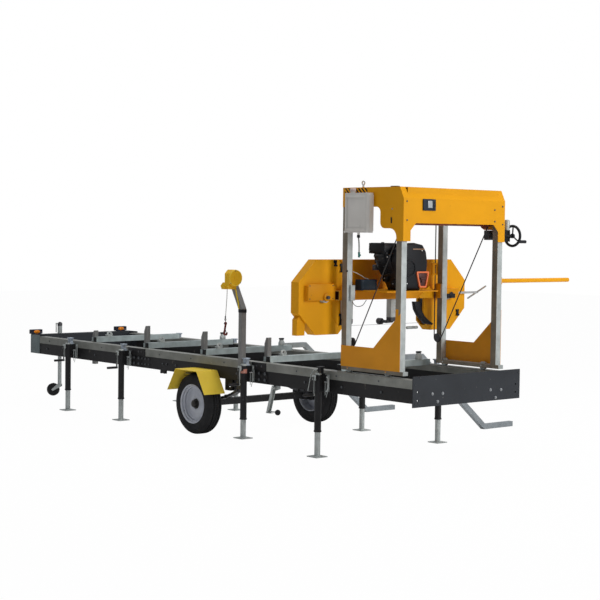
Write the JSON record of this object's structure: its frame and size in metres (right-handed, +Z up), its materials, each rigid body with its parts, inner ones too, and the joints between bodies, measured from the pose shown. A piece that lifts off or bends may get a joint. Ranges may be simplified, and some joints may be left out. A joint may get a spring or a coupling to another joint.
{
  "type": "portable band sawmill",
  "caption": "Long log track on screw jacks and road wheels, with cross bunks, log ramps, a swinging winch davit, and a rolling gantry that lifts an engine-driven horizontal band saw head",
  "frame": {"origin": "on the floor, under the middle of the whole machine", "axes": "+X along the track toward the gantry end, +Y across the track toward the ramps, +Z up"},
  "size_m": [6.173, 3.223, 2.358],
  "materials": {
    "rail_black": "dark painted channel with a galvanised strip",
    "plate_charcoal": "charcoal powder coat",
    "galvanised": "hot-dip galvanised",
    "stop_grey": "grey paint, scuffed",
    "jack_black": "black powder coat",
    "zinc": "zinc plated",
    "axle_black": "black chassis paint",
    "road_wheel": "rubber tyre on a painted steel rim",
    "fender_yellow": "yellow powder coat",
    "jockey_rubber": "solid rubber",
    "davit_grey": "grey paint",
    "winch_yellow": "yellow paint",
    "wire": "twisted wire rope",
    "hook_red": "red-brown paint",
    "frame_galvanised": "galvanised tube with orange gusset plates",
    "cable_black": "black coated wire rope",
    "hood_yellow": "yellow powder coat",
    "tank_grey": "pale grey plastic",
    "hose_clear": "soft hose with a small tap",
    "handwheel_black": "black moulded",
    "bar_yellow": "yellow powder coat",
    "head_orange": "orange-yellow powder coat",
    "guard_yellow": "yellow powder coat",
    "cast_wheel": "cast iron, painted dark",
    "blade_steel": "spring steel",
    "screw_steel": "plain steel",
    "engine_black": "black covers on cast aluminium"
  },
  "bodies": {
    "track": {"near_rail": "rail_black", "far_rail": "rail_black", "near_end_plate": "plate_charcoal", "far_end_frame": "galvanised", "bunk_1": "galvanised", "bunk_2": "galvanised", "bunk_3": "galvanised", "bunk_4": "galvanised", "bunk_5": "galvanised", "log_ramp_1": "galvanised", "log_ramp_2": "galvanised", "near_jack_tube_1": "jack_black", "near_jack_tube_2": "jack_black", "near_jack_tube_3": "jack_black", "near_jack_tube_4": "jack_black", "far_jack_tube_1": "jack_black", "far_jack_tube_2": "jack_black", "far_jack_tube_3": "jack_black", "far_jack_tube_4": "jack_black", "axle": "axle_black", "near_fender": "fender_yellow", "far_fender": "fender_yellow", "jockey_tube": "zinc"},
    "carriage": {"near_side_frame": "frame_galvanised", "far_side_frame": "frame_galvanised", "near_lift_cable": "cable_black", "far_lift_cable": "cable_black", "top_hood": "hood_yellow", "water_tank": "tank_grey", "water_hose": "hose_clear", "push_bar": "bar_yellow"},
    "head": {"head_frame": "head_orange", "near_band_guard": "guard_yellow", "far_band_guard": "guard_yellow", "saw_blade": "blade_steel", "engine": "engine_black"},
    "handwheel": {"lift_handwheel": "handwheel_black"},
    "near_band": {"near_band_wheel": "cast_wheel"},
    "far_band": {"far_band_wheel": "cast_wheel"},
    "tensioner": {"tension_screw": "screw_steel"},
    "davit": {"davit_post": "davit_grey", "davit_winch": "winch_yellow", "winch_rope": "wire", "winch_hook": "hook_red"},
    "near_wheel": {"near_road_wheel": "road_wheel"},
    "far_wheel": {"far_road_wheel": "road_wheel"},
    "jockey_inner": {"jockey_leg": "zinc"},
    "jockey_roller": {"jockey_wheel": "jockey_rubber"},
    "stop_1": {"log_stop_1": "stop_grey"},
    "stop_2": {"log_stop_2": "stop_grey"},
    "stop_3": {"log_stop_3": "stop_grey"},
    "stop_4": {"log_stop_4": "stop_grey"},
    "near_leg_1": {"near_jack_leg_1": "zinc"},
    "near_leg_2": {"near_jack_leg_2": "zinc"},
    "near_leg_3": {"near_jack_leg_3": "zinc"},
    "near_leg_4": {"near_jack_leg_4": "zinc"},
    "far_leg_1": {"far_jack_leg_1": "zinc"},
    "far_leg_2": {"far_jack_leg_2": "zinc"},
    "far_leg_3": {"far_jack_leg_3": "zinc"},
    "far_leg_4": {"far_jack_leg_4": "zinc"}
  },
  "joints": [
    {"name": "carriage_travel", "type": "slide", "parent": "track", "child": "carriage", "axis": [1, 0, 0], "range_m": [-0.5, 0.14]},
    {"name": "head_lift", "type": "slide", "parent": "carriage", "child": "head", "axis": [0, 0, 1], "range_m": [-0.25, 0.35]},
    {"name": "handwheel_turn", "type": "hinge", "parent": "carriage", "child": "handwheel", "pos_m": [2.86251, 0.1805, 1.911], "axis": [0, 1, 0], "range_deg": [-1820, 2540]},
    {"name": "near_band_spin", "type": "hinge", "parent": "head", "child": "near_band", "pos_m": [2.03651, -1.3415, 1.37], "axis": [1, 0, 0], "continuous": true},
    {"name": "far_band_spin", "type": "hinge", "parent": "head", "child": "far_band", "pos_m": [2.03651, 0.1485, 1.37], "axis": [1, 0, 0], "continuous": true},
    {"name": "tension_turn", "type": "hinge", "parent": "head", "child": "tensioner", "pos_m": [2.12681, 0.4035, 1.385], "axis": [0, 1, 0], "range_deg": [-360, 360]},
    {"name": "davit_swivel", "type": "hinge", "parent": "track", "child": "davit", "pos_m": [0.92651, -1.2885, 0.6], "axis": [0, 0, 1], "range_deg": [-90, 90]},
    {"name": "near_wheel_spin", "type": "hinge", "parent": "track", "child": "near_wheel", "pos_m": [0.32651, -1.3275, 0.295], "axis": [0, 1, 0], "continuous": true},
    {"name": "far_wheel_spin", "type": "hinge", "parent": "track", "child": "far_wheel", "pos_m": [0.32651, 0.1345, 0.295], "axis": [0, 1, 0], "continuous": true},
    {"name": "jockey_slide", "type": "slide", "parent": "track", "child": "jockey_inner", "axis": [0, 0, 1], "range_m": [-0.1, 0.14]},
    {"name": "jockey_spin", "type": "hinge", "parent": "jockey_inner", "child": "jockey_roller", "pos_m": [-3.02711, -0.88812, 0.104], "axis": [-0.7071, 0.7071, 0], "continuous": true},
    {"name": "stop_1_slide", "type": "slide", "parent": "track", "child": "stop_1", "axis": [0, 0, 1], "range_m": [-0.05, 0.2]},
    {"name": "stop_2_slide", "type": "slide", "parent": "track", "child": "stop_2", "axis": [0, 0, 1], "range_m": [-0.15, 0.05]},
    {"name": "stop_3_slide", "type": "slide", "parent": "track", "child": "stop_3", "axis": [0, 0, 1], "range_m": [-0.15, 0.05]},
    {"name": "stop_4_slide", "type": "slide", "parent": "track", "child": "stop_4", "axis": [0, 0, 1], "range_m": [-0.15, 0.05]},
    {"name": "near_jack_1_slide", "type": "slide", "parent": "track", "child": "near_leg_1", "axis": [0, 0, 1], "range_m": [-0.15, 0.2]},
    {"name": "near_jack_2_slide", "type": "slide", "parent": "track", "child": "near_leg_2", "axis": [0, 0, 1], "range_m": [-0.15, 0.2]},
    {"name": "near_jack_3_slide", "type": "slide", "parent": "track", "child": "near_leg_3", "axis": [0, 0, 1], "range_m": [-0.15, 0.16]},
    {"name": "near_jack_4_slide", "type": "slide", "parent": "track", "child": "near_leg_4", "axis": [0, 0, 1], "range_m": [-0.15, 0.2]},
    {"name": "far_jack_1_slide", "type": "slide", "parent": "track", "child": "far_leg_1", "axis": [0, 0, 1], "range_m": [-0.15, 0.2]},
    {"name": "far_jack_2_slide", "type": "slide", "parent": "track", "child": "far_leg_2", "axis": [0, 0, 1], "range_m": [-0.15, 0.2]},
    {"name": "far_jack_3_slide", "type": "slide", "parent": "track", "child": "far_leg_3", "axis": [0, 0, 1], "range_m": [-0.15, 0.2]},
    {"name": "far_jack_4_slide", "type": "slide", "parent": "track", "child": "far_leg_4", "axis": [0, 0, 1], "range_m": [-0.15, 0.2]}
  ],
  "couplings": [
    {"joint": "handwheel_turn", "follows": "head_lift", "rad_per_m": 125.66},
    {"joint": "near_band_spin", "follows": "far_band_spin", "ratio": 1}
  ]
}
